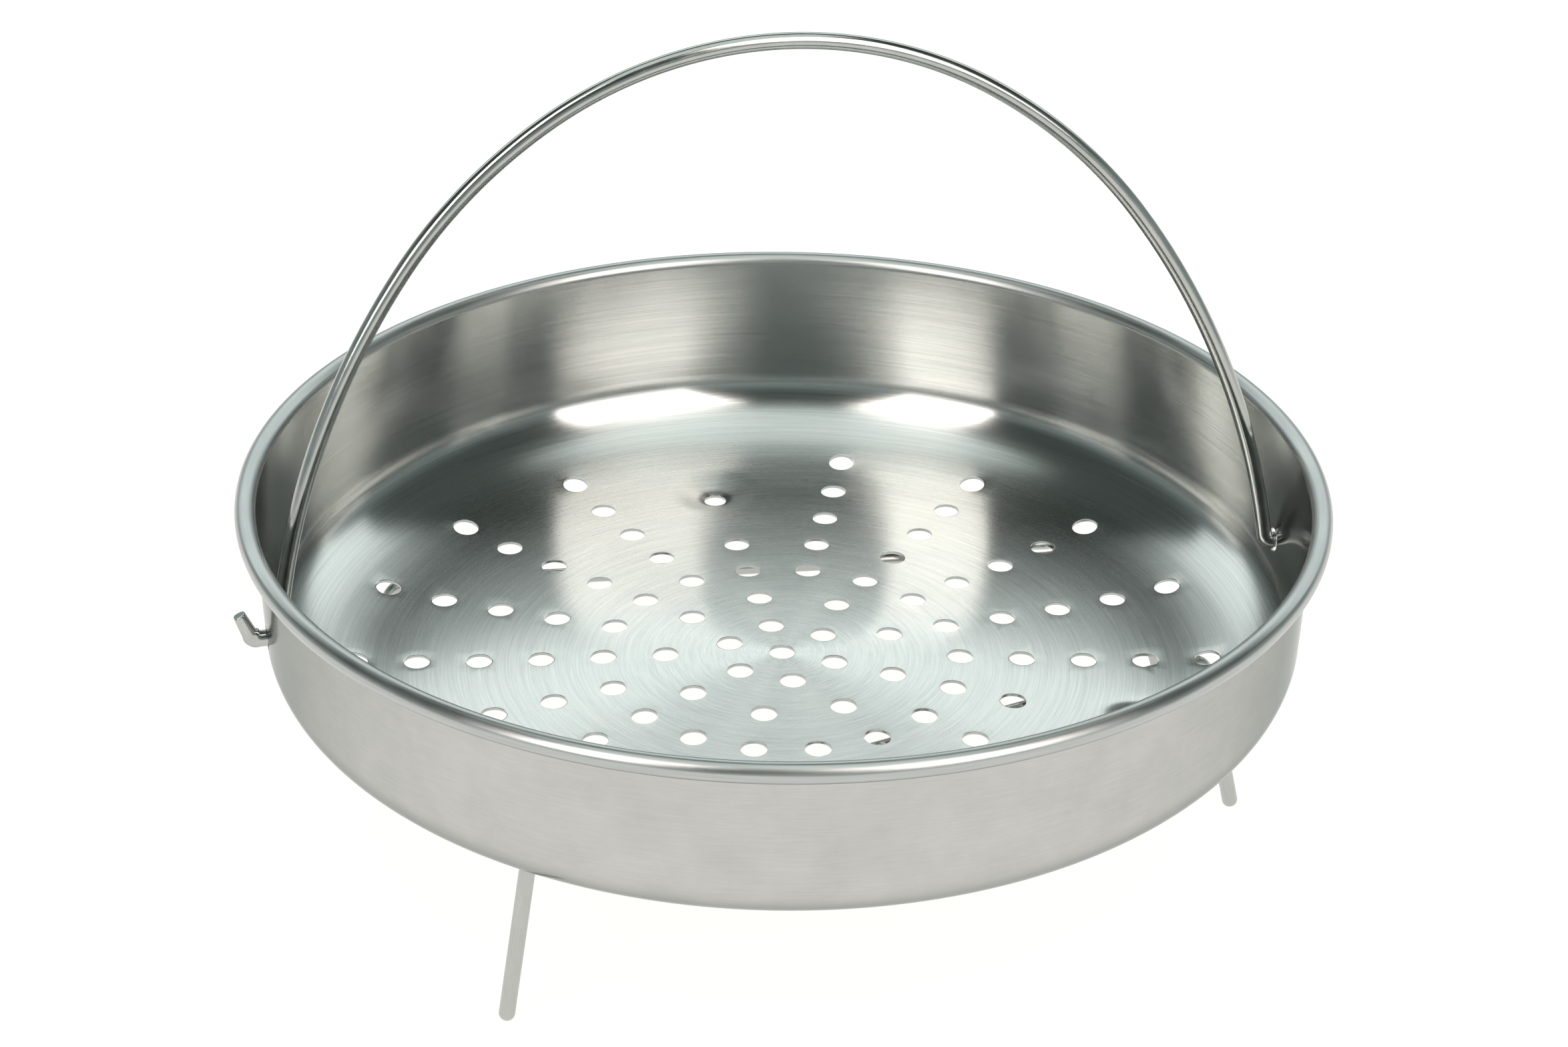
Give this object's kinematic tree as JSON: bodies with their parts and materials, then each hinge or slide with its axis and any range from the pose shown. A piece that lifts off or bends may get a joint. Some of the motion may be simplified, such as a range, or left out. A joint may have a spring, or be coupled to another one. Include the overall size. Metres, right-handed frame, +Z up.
{
  "type": "steamer insert",
  "caption": "Round perforated steel pan with a rolled rim, a wire bail that swings on hooked pins through the wall, and bent wire legs under the floor.",
  "frame": {"origin": "on the table plane, straight below the pan's centre", "axes": "+Z up, +X along the bail's hinge axis to the right, +Y to the rear, where the bail leans at rest"},
  "size_m": [0.2186, 0.215, 0.1695],
  "materials": {
    "pan_steel": "brushed stainless sheet, satin outside and turned brushing on the floor",
    "bail_wire": "bright drawn stainless wire",
    "leg_wire": "satin stainless wire"
  },
  "bodies": {
    "pan": {"perforated_pan": "pan_steel", "rear_leg_wire": "leg_wire", "front_leg_wire": "leg_wire"},
    "bail": {"bail_handle": "bail_wire"}
  },
  "joints": [
    {"name": "bail_swing", "type": "hinge", "parent": "pan", "child": "bail", "pos_m": [0, 0, 0.057], "axis": [1, 0, 0], "range_deg": [-65, 80]}
  ]
}
